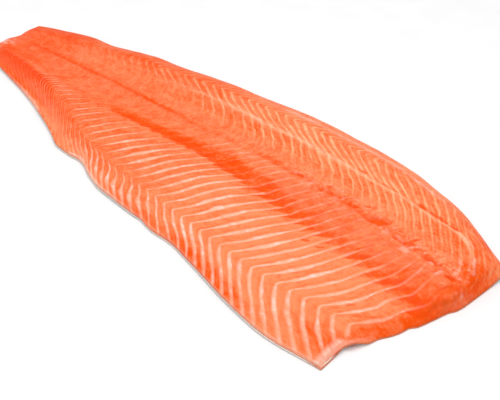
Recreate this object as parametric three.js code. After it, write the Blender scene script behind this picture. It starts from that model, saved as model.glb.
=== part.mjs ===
// A whole raw side of salmon, lying on its skin.
// Millimetres, +Z up. X runs from the tail cut to the head cut, Y from the belly edge to the back.
// The fillet is two solids: the flesh, and the thin skin under all of it.

import * as THREE from 'three';

// Driving dimensions, in millimetres
const SKIN_THICKNESS = 1.0;
const CLEARANCE = 0.3; // between the skin and the flesh
const EDGE_WALL = 2.5; // height of the flesh at its thin edges
const SKIN_BORDER = 0.6; // how far the skin shows past the flesh along the two long edges
const END_BORDER = 0.2; // the same at the two cut ends, where it is nearly flush
const HEAD_SLANT = 3.0; // the head cut leans back by this much from its foot to its top
const BELLY_ROUND = 7.0; // width of the rounding along the belly edge
const BACK_LIFT_WIDTH = 26.0; // strip along the back where the skin curves up off the table
const BELLY_LIFT_WIDTH = 10.0; // strip along the belly edge that lies in shallow waves
const BELLY_LIFT = 0.7; // mean lift of the skin at the belly edge
const BELLY_WAVE = 0.5; // height of the waves above and below that
const BELLY_WAVELENGTH = 145.0;
const TAIL_TAPER = 30.0; // length over which the tail end thins out
const TAIL_THINNEST = 0.42; // share of the full thickness left at the tail cut

// The front corner of the belly flap stands up in a small arch at the head cut
const ARCH = { x: 276, y: -77, height: 4.5, halfWidth: 9, depth: 16 };

// Middle of the outline's box, which becomes the origin
const MIDDLE = { x: -0.6, y: -2.45 };

// Plan outline: the two long edges as (x, y), and the two cut ends as (y, x)
const BELLY_EDGE = [
  [-290, -39], [-241, -45], [-183, -53.5], [-150, -59.8], [-124, -66.5], [-93, -74.8], [-62, -84],
  [-48, -84], [-33, -82.3], [-3, -90.5], [20, -94.5], [60, -95], [72, -94.2], [90, -96.5],
  [110, -95.3], [141, -99.4], [194, -107.8], [225, -110.2], [275, -103.5],
];
const BACK_EDGE = [
  [-302, 36.5], [-275, 46.5], [-219, 63.2], [-196, 64.2], [-170, 71.3], [-147, 78.2], [-130, 82],
  [-102, 84.4], [-49, 93.6], [-28, 96.9], [0, 98.2], [48, 103.3], [70, 105.2], [142, 105.2],
  [170, 103], [191, 99.4], [215, 93], [239, 86.7], [269, 72], [290, 61], [301, 57],
];
const TAIL_CUT = [[-39, -290], [-15, -292], [-6, -294.5], [7, -292.5], [18, -297.5], [36.5, -302]];
const HEAD_CUT = [
  [-103.5, 275], [-82, 273], [-76, 276], [-70, 278.2], [-65, 280.2], [-58, 281.4], [-47.5, 285.9],
  [-41.5, 287.6], [-34.5, 288.6], [-29.5, 291.5], [-16.5, 294.5], [-3, 297.2], [3, 299.6],
  [11, 300.5], [57, 300.8],
];

// Lines of the fish's body in plan, as (x, y): the flank fold, the dark band over the ribs,
// the backbone's groove and the seam in the middle of the loin
const FLANK_LINE = [
  [-290, -24], [-215, -29], [-150, -37], [-120, -43], [-88, -53], [-55, -61.5], [-20, -67.2],
  [10, -70.3], [56, -71.5], [156, -74], [196, -73], [236, -67.5], [262, -65], [290, -62],
];
const BAND_LINE = [
  [-290, -16], [-170, -18], [-69, -16], [-14, -10], [46, -3], [86, -3], [126, -9], [186, -20], [290, -28],
];
const BACKBONE_LINE = [
  [-290, 6], [-194, 3], [-144, 6], [-94, 9], [-34, 14], [66, 18], [166, 20], [211, 17], [249, 14], [300, 5],
];
const SEAM_LINE = [
  [-290, 22], [-194, 34], [-144, 40], [-94, 45], [-34, 50], [106, 54], [156, 56], [206, 54],
  [246, 48], [300, 33],
];

// Height of the flesh's top along each of those lines, as (x, z)
const EDGE_HEIGHT = [[-290, 3], [-100, 4], [290, 4]];
const FLANK_HEIGHT = [[-290, 5], [-200, 7], [0, 9], [200, 8.5], [290, 7]];
const BAND_HEIGHT = [[-290, 7], [-200, 10], [0, 12], [200, 12.5], [290, 11]];
const BACKBONE_HEIGHT = [[-290, 8], [-200, 12], [-100, 15], [0, 17.5], [200, 19.5], [290, 18]];
const SEAM_HEIGHT = [[-290, 8], [-200, 13.5], [-100, 18], [0, 22], [100, 24.5], [200, 24], [290, 21]];
const BACK_HEIGHT = [[-290, 7.5], [-200, 13], [-100, 18], [0, 23], [100, 26], [200, 25], [290, 22]];

// How far the skin's edge stands off the table along the back, and how broad the back's shoulder is
const BACK_LIFT = [[-300, 2], [-100, 4], [100, 5], [290, 4]];
const SHOULDER_WIDTH = [[-300, 18], [-200, 22], [0, 28], [100, 30], [290, 24]];

// Length over which the top rolls down to the head cut, and the share of its height lost there, by y
const HEAD_ROUND = [[-104, 8], [-85, 12], [-60, 18], [-8, 26], [57, 28]];
const HEAD_ROUND_SHARE = [[-104, 0.4], [-85, 0.6], [-60, 0.72], [-8, 0.82], [57, 0.82]];

// Rows of the mesh, as places between the lines: 0 belly edge, 1 flank, 2 band, 3 backbone,
// 4 seam, 5 back edge. They stand closest at the two edges, where the surface bends most.
const ROWS = [
  0, 0.06, 0.2, 0.4, 0.55, 0.7, 0.85, 1, 1.3, 1.65, 2, 2.5, 3, 3.35, 3.7, 4, 4.25, 4.45, 4.6, 4.73,
  4.85, 4.94, 5,
];
const COLUMNS = 46;
const COLUMN_CROWDING = 0.35; // 0 spaces the columns evenly, 1 crowds them most at the two ends

// Materials

function rawFlesh() {
  return new THREE.MeshStandardMaterial({ color: 0xf5824e, roughness: 0.4, metalness: 0 });
}

function fishSkin() {
  return new THREE.MeshStandardMaterial({ color: 0xa9adab, roughness: 0.35, metalness: 0.2 });
}

// Curves

// A smooth curve through a few points, which doesn't swing past them
function smoothCurve(points) {
  const last = points.length - 1;
  const gaps = points.slice(1).map((point, i) => point[0] - points[i][0]);
  const slopes = points.slice(1).map((point, i) => (point[1] - points[i][1]) / gaps[i]);
  const tangents = points.map((point, i) => {
    if (i === 0) return slopes[0];
    if (i === last) return slopes[last - 1];
    return meanSlope(slopes[i - 1], slopes[i], gaps[i - 1], gaps[i]);
  });
  return (position) => {
    const at = THREE.MathUtils.clamp(position, points[0][0], points[last][0]);
    let i = 0;
    while (i < last - 1 && at > points[i + 1][0]) i += 1;
    const t = (at - points[i][0]) / gaps[i];
    return hermite(points[i][1], points[i + 1][1], tangents[i] * gaps[i], tangents[i + 1] * gaps[i], t);
  };
}

// Weighted harmonic mean of two slopes, or level where the curve turns round
function meanSlope(before, after, gapBefore, gapAfter) {
  if (before * after <= 0) return 0;
  const weightBefore = 2 * gapAfter + gapBefore;
  const weightAfter = gapAfter + 2 * gapBefore;
  return (weightBefore + weightAfter) / (weightBefore / before + weightAfter / after);
}

function hermite(start, end, startTangent, endTangent, t) {
  const square = t * t;
  const cube = square * t;
  return (2 * cube - 3 * square + 1) * start
    + (cube - 2 * square + t) * startTangent
    + (3 * square - 2 * cube) * end
    + (cube - square) * endTangent;
}

// Quarter of a circle: 0 at 0, and 1 and level at 1
function quarterRound(t) {
  const rest = 1 - THREE.MathUtils.clamp(t, 0, 1);
  return Math.sqrt(1 - rest * rest);
}

// Rises from 0 at the inner side of a strip to 1 at the edge, bending more and more
function curlUp(distanceFromEdge, width) {
  const t = THREE.MathUtils.clamp(1 - distanceFromEdge / width, 0, 1);
  return t * t;
}

const bellyEdge = smoothCurve(BELLY_EDGE);
const backEdge = smoothCurve(BACK_EDGE);
const tailCut = smoothCurve(TAIL_CUT);
const headCut = smoothCurve(HEAD_CUT);
const bodyLines = [
  bellyEdge, smoothCurve(FLANK_LINE), smoothCurve(BAND_LINE), smoothCurve(BACKBONE_LINE),
  smoothCurve(SEAM_LINE), backEdge,
];
const edgeHeight = smoothCurve(EDGE_HEIGHT);
const lineHeights = [
  FLANK_HEIGHT, BAND_HEIGHT, BACKBONE_HEIGHT, SEAM_HEIGHT, BACK_HEIGHT,
].map(smoothCurve);
const backLift = smoothCurve(BACK_LIFT);
const shoulderWidth = smoothCurve(SHOULDER_WIDTH);
const headRound = smoothCurve(HEAD_ROUND);
const headRoundShare = smoothCurve(HEAD_ROUND_SHARE);

// Plan

// Y of a row at x, part of the way between two of the body's lines
function rowY(row, x) {
  const line = Math.min(Math.floor(row), bodyLines.length - 2);
  return THREE.MathUtils.lerp(bodyLines[line](x), bodyLines[line + 1](x), row - line);
}

// X where a row meets a cut end, found in a few steps because the row's y depends on x
function rowEnd(row, cut) {
  let x = cut(0);
  for (let step = 0; step < 5; step += 1) x = cut(rowY(row, x));
  return x;
}

// Share of the length at a column, with the columns closer together at the two ends
function columnShare(column) {
  const even = column / COLUMNS;
  const crowded = (1 - Math.cos(Math.PI * even)) / 2;
  return THREE.MathUtils.lerp(even, crowded, COLUMN_CROWDING);
}

function planPoint(row, column, slant) {
  const start = rowEnd(row, tailCut);
  const end = rowEnd(row, headCut) - slant;
  const x = THREE.MathUtils.lerp(start, end, columnShare(column));
  return { x, y: rowY(row, x) };
}

// Heights

// Underside of the skin: on the table, but lifted at the two long edges and in the corner's arch
function skinUnderside(x, y) {
  const back = backLift(x) * curlUp(backEdge(x) - y, BACK_LIFT_WIDTH);
  const wave = BELLY_LIFT + BELLY_WAVE * Math.sin((2 * Math.PI * x) / BELLY_WAVELENGTH);
  const belly = wave * curlUp(y - bellyEdge(x), BELLY_LIFT_WIDTH);
  const across = (y - ARCH.y) / ARCH.halfWidth;
  const arch = ARCH.height * Math.exp(-across * across) * curlUp(ARCH.x - x, ARCH.depth);
  return back + belly + arch;
}

function fleshUnderside(x, y) {
  return skinUnderside(x, y) + SKIN_THICKNESS + CLEARANCE;
}

// Height of the flesh across the fish at a row, before its edges are rounded
function fullHeight(row, x) {
  const section = [[0, edgeHeight(x)], [0.25, 0.78 * lineHeights[0](x)]];
  lineHeights.forEach((height, i) => section.push([i + 1, height(x)]));
  return smoothCurve(section)(row);
}

function fleshTop(row, x, y) {
  const underside = fleshUnderside(x, y);
  const edge = underside + EDGE_WALL;
  const full = Math.max(fullHeight(row, x) - edge, 0);
  const shoulder = quarterRound((backEdge(x) - y) / shoulderWidth(x));
  const brim = quarterRound(0.35 + (y - bellyEdge(x)) / BELLY_ROUND);
  const fromHead = headCut(y) - HEAD_SLANT - x;
  const head = 1 - headRoundShare(y) * (1 - quarterRound(fromHead / headRound(y)));
  const taper = THREE.MathUtils.lerp(TAIL_THINNEST, 1, quarterRound((x - tailCut(y)) / TAIL_TAPER));
  return underside + (EDGE_WALL + full * shoulder * brim * head) * taper;
}

// Solids

// One closed body from an upper and a lower sheet with the same rows and columns
function closedSheets(upper, lower) {
  const rows = upper.length;
  const columns = upper[0].length;
  const positions = [];
  [upper, lower].forEach((sheet) => sheet.forEach((row) => row.forEach((point) => {
    positions.push(point.x - MIDDLE.x, point.y - MIDDLE.y, point.z);
  })));
  const index = [];
  const top = (i, j) => i * columns + j;
  const bottom = (i, j) => rows * columns + i * columns + j;
  for (let i = 0; i < rows - 1; i += 1) {
    for (let j = 0; j < columns - 1; j += 1) {
      index.push(top(i, j), top(i, j + 1), top(i + 1, j + 1), top(i, j), top(i + 1, j + 1), top(i + 1, j));
      index.push(bottom(i, j), bottom(i + 1, j + 1), bottom(i, j + 1));
      index.push(bottom(i, j), bottom(i + 1, j), bottom(i + 1, j + 1));
    }
  }
  const wall = (a, b, c, d) => index.push(a, b, c, a, c, d);
  for (let j = 0; j < columns - 1; j += 1) {
    wall(bottom(0, j), bottom(0, j + 1), top(0, j + 1), top(0, j));
    wall(bottom(rows - 1, j + 1), bottom(rows - 1, j), top(rows - 1, j), top(rows - 1, j + 1));
  }
  for (let i = 0; i < rows - 1; i += 1) {
    wall(bottom(i + 1, 0), bottom(i, 0), top(i, 0), top(i + 1, 0));
    wall(bottom(i, columns - 1), bottom(i + 1, columns - 1), top(i + 1, columns - 1), top(i, columns - 1));
  }
  const geometry = new THREE.BufferGeometry();
  geometry.setAttribute('position', new THREE.Float32BufferAttribute(positions, 3));
  geometry.setIndex(index);
  geometry.computeVertexNormals();
  return geometry;
}

// A sheet over all rows and columns, with its height given by a function of row, x and y
function sheet(slant, height) {
  return ROWS.map((row) => Array.from({ length: COLUMNS + 1 }, (unused, column) => {
    const { x, y } = planPoint(row, column, slant);
    return new THREE.Vector3(x, y, height(row, x, y));
  }));
}

// The plan points under the flesh with one more ring of points around them
function withBorder(points) {
  const rowCount = points.length;
  const columnCount = points[0].length;
  const ringed = [];
  for (let i = -1; i <= rowCount; i += 1) {
    const row = [];
    for (let j = -1; j <= columnCount; j += 1) {
      const nearest = points[THREE.MathUtils.clamp(i, 0, rowCount - 1)][
        THREE.MathUtils.clamp(j, 0, columnCount - 1)];
      const alongX = (j === columnCount ? 1 : 0) - (j === -1 ? 1 : 0);
      const alongY = (i === rowCount ? 1 : 0) - (i === -1 ? 1 : 0);
      row.push({ x: nearest.x + alongX * END_BORDER, y: nearest.y + alongY * SKIN_BORDER });
    }
    ringed.push(row);
  }
  return ringed;
}

function makeFlesh() {
  const upper = sheet(HEAD_SLANT, fleshTop);
  const lower = sheet(0, (row, x, y) => fleshUnderside(x, y));
  const mesh = new THREE.Mesh(closedSheets(upper, lower), rawFlesh());
  mesh.name = 'flesh';
  return mesh;
}

function makeSkin() {
  const plan = withBorder(sheet(0, () => 0));
  const raised = (height) => plan.map((row) => row.map(({ x, y }) => {
    return new THREE.Vector3(x, y, skinUnderside(x, y) + height);
  }));
  const mesh = new THREE.Mesh(closedSheets(raised(SKIN_THICKNESS), raised(0)), fishSkin());
  mesh.name = 'skin';
  return mesh;
}

const fillet = new THREE.Group();
fillet.add(makeFlesh(), makeSkin());

export default fillet;
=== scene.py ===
"""A whole raw side of salmon, lying on its skin, with a pale floor, soft light and a camera.

X runs from the tail cut to the head cut and Y from the belly edge to the back. Sizes are in
millimetres until a mesh is made. A row is a place across the fish: 0 belly edge, 1 flank fold,
2 dark band over the ribs, 3 backbone's groove, 4 seam in the middle of the loin, 5 back edge.
"""

import bpy
import numpy as np
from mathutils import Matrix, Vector


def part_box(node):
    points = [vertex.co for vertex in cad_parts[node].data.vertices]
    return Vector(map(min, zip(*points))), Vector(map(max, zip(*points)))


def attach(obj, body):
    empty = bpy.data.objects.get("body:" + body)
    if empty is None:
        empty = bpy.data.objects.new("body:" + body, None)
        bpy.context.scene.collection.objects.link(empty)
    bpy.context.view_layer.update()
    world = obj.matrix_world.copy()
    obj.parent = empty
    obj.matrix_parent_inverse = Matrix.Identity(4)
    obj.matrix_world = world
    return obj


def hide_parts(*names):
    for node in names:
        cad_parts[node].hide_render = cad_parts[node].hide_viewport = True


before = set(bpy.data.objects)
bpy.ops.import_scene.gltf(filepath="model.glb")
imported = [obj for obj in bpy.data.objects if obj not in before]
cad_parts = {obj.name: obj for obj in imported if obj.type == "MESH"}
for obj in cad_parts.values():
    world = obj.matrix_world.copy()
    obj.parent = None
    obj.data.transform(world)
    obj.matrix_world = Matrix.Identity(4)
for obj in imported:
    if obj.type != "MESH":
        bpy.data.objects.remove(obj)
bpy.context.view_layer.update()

MM = 0.001

# Plan outline: the two long edges as (x, y), and the two cut ends as (y, x)
BELLY_EDGE = (
    (-290, -39), (-241, -45), (-183, -53.5), (-150, -59.8), (-124, -66.5), (-93, -74.8), (-62, -84),
    (-48, -84), (-33, -82.3), (-3, -90.5), (20, -94.5), (60, -95), (72, -94.2), (90, -96.5),
    (110, -95.3), (141, -99.4), (194, -107.8), (225, -110.2), (275, -103.5),
)
BACK_EDGE = (
    (-302, 36.5), (-275, 46.5), (-219, 63.2), (-196, 64.2), (-170, 71.3), (-147, 78.2), (-130, 82),
    (-102, 84.4), (-49, 93.6), (-28, 96.9), (0, 98.2), (48, 103.3), (70, 105.2), (142, 105.2),
    (170, 103), (191, 99.4), (215, 93), (239, 86.7), (269, 72), (290, 61), (301, 57),
)
TAIL_CUT = ((-39, -290), (-15, -292), (-6, -294.5), (7, -292.5), (18, -297.5), (36.5, -302))
HEAD_CUT = (
    (-103.5, 275), (-82, 273), (-76, 276), (-70, 278.2), (-65, 280.2), (-58, 281.4), (-47.5, 285.9),
    (-41.5, 287.6), (-34.5, 288.6), (-29.5, 291.5), (-16.5, 294.5), (-3, 297.2), (3, 299.6),
    (11, 300.5), (57, 300.8),
)

# Lines of the fish's body in plan, as (x, y)
FLANK_LINE = (
    (-290, -24), (-215, -29), (-150, -37), (-120, -43), (-88, -53), (-55, -61.5), (-20, -67.2),
    (10, -70.3), (56, -71.5), (156, -74), (196, -73), (236, -67.5), (262, -65), (290, -62),
)
BAND_LINE = (
    (-290, -16), (-170, -18), (-69, -16), (-14, -10), (46, -3), (86, -3), (126, -9), (186, -20),
    (290, -28),
)
BACKBONE_LINE = (
    (-290, 6), (-194, 3), (-144, 6), (-94, 9), (-34, 14), (66, 18), (166, 20), (211, 17), (249, 14),
    (300, 5),
)
SEAM_LINE = (
    (-290, 22), (-194, 34), (-144, 40), (-94, 45), (-34, 50), (106, 54), (156, 56), (206, 54),
    (246, 48), (300, 33),
)
BODY_LINES = (BELLY_EDGE, FLANK_LINE, BAND_LINE, BACKBONE_LINE, SEAM_LINE, BACK_EDGE)
BACK = 5

# Height of the flesh's top along each of those lines, as (x, z)
EDGE_HEIGHT = ((-290, 3), (-100, 4), (290, 4))
LINE_HEIGHTS = (
    ((-290, 5), (-200, 7), (0, 9), (200, 8.5), (290, 7)),
    ((-290, 7), (-200, 10), (0, 12), (200, 12.5), (290, 11)),
    ((-290, 8), (-200, 12), (-100, 15), (0, 17.5), (200, 19.5), (290, 18)),
    ((-290, 8), (-200, 13.5), (-100, 18), (0, 22), (100, 24.5), (200, 24), (290, 21)),
    ((-290, 7.5), (-200, 13), (-100, 18), (0, 23), (100, 26), (200, 25), (290, 22)),
)
BELLY_BULGE = 0.78
SECTION_ROWS = (0, 0.25, 1, 2, 3, 4, 5)

# How the edges rise, round off and thin out
SKIN_THICKNESS = 1.0
SKIN_BORDER = 0.6
END_BORDER = 0.2
EDGE_WALL = 2.5
HEAD_SLANT = 3.0
HEAD_ROUND = ((-104, 8), (-85, 12), (-60, 18), (-8, 26), (57, 28))
HEAD_ROUND_SHARE = ((-104, 0.4), (-85, 0.6), (-60, 0.72), (-8, 0.82), (57, 0.82))
BELLY_ROUND = 7.0
BACK_LIFT = ((-300, 2), (-100, 4), (100, 5), (290, 4))
BACK_LIFT_WIDTH = 26.0
SHOULDER_WIDTH = ((-300, 18), (-200, 22), (0, 28), (100, 30), (290, 24))
BELLY_LIFT = 0.7
BELLY_WAVE = 0.5
BELLY_WAVELENGTH = 145.0
BELLY_LIFT_WIDTH = 10.0
TAIL_TAPER = 30.0
TAIL_THINNEST = 0.42
LIFT_X, LIFT_Y, LIFT_HEIGHT, LIFT_HALF_WIDTH, LIFT_DEPTH = 276, -77, 4.5, 9, 16

# The white lines between the muscle blocks. They are numbered along the rib wall, as (x, number),
# and SWEEPS says how far toward the head a line has run on each row, as (x on the rib wall, mm).
WALL_ROW = 1.2
LINE_NUMBERS = (
    (-300, -38.4), (-150, -25.4), (-64, -18), (12.5, -12), (154, 0), (270, 10), (310, 13.4), (340, 16),
)
SWEEPS = (
    (0, ((-170, 66), (-120, 62), (-80, 48), (-45, 41), (-10, 34), (15, 28), (45, 26), (85, 27),
         (150, 30), (270, 34))),
    (0.25, ((-170, 48), (-120, 48), (-80, 38), (-50, 27), (-15, 23), (15, 16.5), (45, 15), (75, 17.5),
         (105, 19), (195, 18.5), (230, 21), (270, 23))),
    (0.5, ((-170, 27), (-120, 29), (-80, 26), (-55, 19), (-20, 16), (10, 11), (45, 7.3), (135, 8),
         (195, 6), (225, 7), (260, 11))),
    (0.75, ((-170, 12), (-80, 13), (-45, 8.5), (-10, 6.5), (20, 4), (60, 0.5), (100, -2), (200, -2.8),
         (260, 0))),
    (0.97, ((-170, -1), (-80, -1.5), (-45, -3), (-12, -6.2), (45, -8), (100, -9), (200, -9), (240, -8),
         (270, -6))),
    (WALL_ROW, ((0, 0), (100, 0))),
    (1.4, ((0, 5.5), (70, 4), (105, 4.6), (140, 5.6), (220, 5.2))),
    (1.6, ((-60, 10.5), (0, 12), (75, 8.3), (105, 9.6), (140, 11), (200, 10.3), (270, 8.5))),
    (1.8, ((-80, 16), (-45, 18.5), (-10, 22.5), (45, 18.8), (105, 19.2), (165, 15.8), (225, 13),
         (260, 9.5))),
    (2, ((-80, 24), (-40, 28), (0, 34), (45, 29), (105, 27.5), (140, 24), (170, 20), (220, 16.5),
         (260, 12.5))),
    (2.3, ((0, 40), (45, 33), (75, 31), (105, 31), (135, 29.5), (165, 26.5), (195, 23), (225, 21),
         (255, 18))),
    (2.7, ((0, 50), (75, 39), (105, 39.5), (135, 37.5), (165, 34.5), (195, 31.5), (225, 25),
         (255, 19))),
    (2.88, ((-120, 40), (-40, 50), (0, 54), (75, 43), (105, 43.5), (135, 41.5), (165, 38), (200, 34),
         (250, 19))),
    (3.06, ((-120, 40), (0, 54), (80, 49), (140, 44), (200, 31), (250, 20))),
    (3.27, ((-120, 42), (0, 56), (80, 53), (140, 48), (200, 36), (250, 24))),
    (3.45, ((-120, 36), (0, 51), (80, 47), (140, 42), (200, 29), (250, 20))),
    (3.62, ((-120, 33), (0, 46), (80, 42), (140, 37), (200, 23), (250, 15))),
    (3.8, ((-120, 28.5), (0, 37), (80, 32.5), (140, 26), (200, 15), (250, 8))),
    (4, ((-120, 22), (0, 28.5), (80, 25), (140, 17.5), (200, 6), (250, 2))),
    (4.07, ((-120, 17), (0, 21.3), (80, 17.5), (140, 10.5), (200, -1), (250, -1))),
    (4.2, ((-120, 9), (0, 8.5), (80, 3.5), (140, -2), (200, -12.5), (250, -6))),
    (4.43, ((-120, -5), (0, -10), (80, -14.5), (140, -20), (200, -28), (250, -18))),
    (4.56, ((-120, 0), (0, 1), (80, -2), (140, -9), (185, -26), (215, -37), (250, -25))),
    (4.7, ((-120, 8), (0, 12), (80, 10), (140, 4), (185, -10), (215, -30), (250, -30))),
    (5, ((-120, 34), (0, 40), (80, 38), (140, 32), (250, 5))),
)
SWEEP_ROUNDING = ((0, 0.04), (2.8, 0.05), (3.4, 0.03), (4.2, 0.02), (5, 0.02))
TAIL_ROUNDING = 0.28
MOST_LINES = 40
LINE_WOBBLE = 0.06
LOIN_WOBBLE = 0.09
TAIL_WOBBLE = 0.2

# Near the head cut the loin's lines turn round in arcs: their middle, one's radius and its number,
# and mm from line to line
ARC_X, ARC_Y, ARC_RADIUS, ARC_NUMBER, ARC_GAP = 256, 10, 40, 11.2, 8.0

# How strongly the white lines show, across the fish as (row, share) and along it as (x, share),
# and how broad they are, as (row, mm)
LINE_SHOW_FRONT = (
    (0, 0.7), (0.15, 0.65), (0.45, 0.97), (0.9, 0.82), (1, 0.76), (1.15, 0.92), (1.45, 1), (1.75, 0.85),
    (2, 0.55), (2.3, 0.4), (2.6, 0.3), (2.9, 0.25), (3.06, 0.08), (3.2, 0.15), (3.4, 0.35),
    (3.65, 0.75), (3.95, 0.8), (4.2, 0.9), (4.4, 0.75), (4.52, 0.42), (4.75, 0.45), (5, 0.35),
)
LINE_SHOW_REAR = (
    (0, 0.75), (0.15, 0.7), (0.45, 0.95), (0.9, 0.65), (1, 0.6), (1.15, 0.9), (1.45, 1), (1.75, 0.55),
    (1.95, 0.1), (2.05, 0), (2.8, 0.05), (3.3, 0.03), (3.7, 0.06), (3.9, 0.15), (4.02, 0.4),
    (4.15, 0.65), (4.35, 0.5), (4.5, 0.35), (5, 0.3),
)
LINE_SHOW_ALONG = (
    (-270, 0.1), (-220, 0.14), (-180, 0.24), (-140, 0.32), (-100, 0.4), (-60, 0.56), (-20, 0.7),
    (60, 0.77), (110, 0.86), (150, 0.8), (200, 0.8), (250, 0.77), (285, 0.6),
)
TAIL_STRIP_FAINTER = 0.6
LOIN_TAIL_SHOW = 0.08

# Where the white lines show more or less than that, as (change, limits along x, limits across the
# rows). Two limits are where a change begins and is whole. Four are those two, and where it is no
# longer whole and ends. In square brackets stand a round one's middle and half width.
SHOW_CHANGES = (
    (-0.45, (-70, -20, 45, 75), [1, 0.14]),
    (-0.8, (268, 276), (1.1, 0.85)),
    (-0.6, (180, 200, 246, 258), (2.35, 2.6, 3, 3.1)),
    (0.7, (20, 50, 110, 140), [2.72, 0.25]),
    (0.5, (195, 215), [4.6, 0.14]),
    (-0.35, (240, 265), (3, 3.3)),
)

LINE_WIDTHS = (
    (0, 2), (0.5, 2.3), (0.85, 1.8), (1, 1.3), (1.1, 1.6), (1.2, 2.9), (1.4, 3.2), (1.6, 2.6),
    (1.85, 1.9), (2.2, 2), (3.2, 1.7), (3.7, 2), (4, 2), (4.3, 2.5), (5, 1.8),
)
WIDTH_CHANGES = (
    (-0.3, (80, 0), (0.45, 0.6, 1.1, 1.3)),
    (-0.35, (0, -50), (1.1, 1.3, 2.5, 3)),
    (0.4, (100, 170), (1.1, 0.9)),
)

# How strongly the finer lines between them show: on the rib wall, the tail, the back and the loin
FINE_LINES = (
    (0.3, [-95, 55], (0, 0.1, 0.8, 1)),
    (0.14, (-290, -240, -120, -60), (0.1, 0.4, 2.3, 2.9)),
    (0.12, (-40, 60), (4, 4.1, 4.85, 4.98)),
    (0.12, (180, 240, 286, 296), (3.3, 3.6, 4.3, 4.5)),
)

# How pale the flesh is between the lines, from 0 deep orange to 1 light salmon, as (x, share): on
# the flank, on the strip from the ribs to the backbone, and on the loin
FLANK_PALENESS = (
    (-300, -0.1), (-220, -0.08), (-180, 0.05), (-140, 0.25), (-60, 0.5), (60, 0.7), (110, 0.88),
    (180, 1), (230, 0.95), (258, 0.85), (280, 0.7), (292, 0.5),
)
MIDDLE_PALENESS = (
    (-300, 0.2), (-240, 0.15), (-180, 0.35), (-120, 0.42), (0, 0.6), (100, 0.8), (290, 0.85),
)
LOIN_PALENESS = (
    (-300, 0.15), (-240, 0.15), (-180, 0.46), (-100, 0.56), (0, 0.62), (100, 0.7), (180, 0.8),
    (240, 0.76), (290, 0.65),
)

# Where it is paler than that, or deeper, by the row and by y
PALE_BY_ROW = (
    (-0.35, (-150, -110, -40, 20), (0.2, 0.45, 0.8, 1.05)),
    (0.25, (-190, -160, -30, 30), (0.3, 0.1)),
    (-0.15, (30, 80, 160, 200), [1.88, 0.12]),
    (-0.4, [-145, 32], [0.5, 0.3]),
    (-0.5, (-285, -255, -180, -150), (0.2, 0.5, 1.15, 1.45)),
    (0.12, [-180, 30], (3.95, 4.1)),
    (-0.1, [40, 50], (4.2, 4.4)),
    (0.12, (-180, -220), (4.1, 4.5)),
    (0.26, (80, 120), [3.05, 0.25]),
    (-0.12, [268, 22], [2, 0.9]),
    (0.4, [-202, 20], [1.62, 0.2]),
    (0.2, [252, 25], [1.92, 0.12]),
    (-0.28, [-118, 25], [0.5, 0.2]),
    (-0.28, [-160, 20], [0.85, 0.15]),
    (0.22, [275, 14], [4.45, 0.2]),
    (-0.15, [275, 14], [1.15, 0.25]),
    (-0.25, (240, 265), [2.4, 0.6]),
    (-0.28, (225, 255), (3.3, 3.6)),
    (-0.4, (20, 60, 200, 240), (0.42, 0.15)),
    (-0.4, (95, 130, 170, 215), (0.55, 0.2)),
    (-0.3, (40, -40), (3.95, 4.15)),
    (-0.22, (-60, 0, 60, 130), [3.75, 0.18]),
    (-0.1, (60, 120), [3.75, 0.2]),
    (-0.2, (60, 140), (4.1, 4.3)),
    (0.14, [262, 22], (4.1, 4.3)),
    (-0.1, (255, 268), (1, 0.6)),
)
PALE_BY_Y = (
    (-0.5, [-151, 15], [-51, 6]),
    (-0.25, [-133, 14], [60, 6]),
    (-0.2, [-156, 9], [54, 5]),
    (0.15, [277, 12], [27, 7]),
    (-0.7, [255, 20], [-89, 11]),
    (0.25, [262, 12], [-72, 5]),
    (0.45, (284, 297), (32, 44)),
    (0.25, [271, 9], [-38, 9]),
)

# The same near the head cut, by the distance from it and by y
PALE_BY_HEAD = (
    (0.2, (8, 0), (5, 25)),
    (0.2, (16, 6), (36, 46)),
)

# How much deeper the membrane, the band and the groove make the flesh
MEMBRANE_DEEPER = 0.4
BAND_DEEPER = 0.88
BAND_DEEPER_HEAD = 0.78
GROOVE_DEEPER = 0.8

# The deep orange band over the ribs, as (x, y), (x, width) and (x, share)
BAND_PLACE = (
    (-90, -16.5), (-69, -15.5), (-54, -13.5), (-34, -10.7), (6, -5.2), (46, -1.5), (86, -1),
    (106, -2.3), (126, -5), (151, -9), (166, -11), (200, -14), (250, -17.5), (290, -21),
)
BAND_WIDTH = (
    (-90, 4), (-54, 9), (-34, 11), (6, 13), (46, 16), (86, 20), (106, 21), (126, 17), (151, 12.5),
    (200, 11.5), (290, 13),
)
BAND_SHOW = (
    (-90, 0), (-70, 0.5), (-45, 0.74), (-15, 0.9), (90, 0.95), (115, 0.93), (142, 0.66), (170, 0.6),
    (210, 0.48), (290, 0.5),
)

# Near edge of the darker membrane that lies between the ribs and the backbone, as (x, y)
MEMBRANE_EDGE = ((90, -12), (126, -12.5), (151, -14), (170, -15), (200, -20), (250, -24), (300, -27))

# The groove where the backbone lay, as (x, y) and (x, share)
GROOVE_PLACE = (
    (-260, 2.5), (-240, 4.2), (-211, 4.8), (-166, 7), (-140, 8.8), (-103, 11), (-60, 12.8), (-40, 13.8),
    (-5, 14), (36, 16), (106, 20), (166, 21), (211, 19), (249, 16), (290, 10),
)
GROOVE_SHOW = (
    (-264, 0), (-250, 0.65), (-150, 0.85), (-90, 1), (-50, 1), (-10, 0.7), (30, 0.4), (60, 0.4),
    (120, 0.5), (290, 0.8),
)

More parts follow.
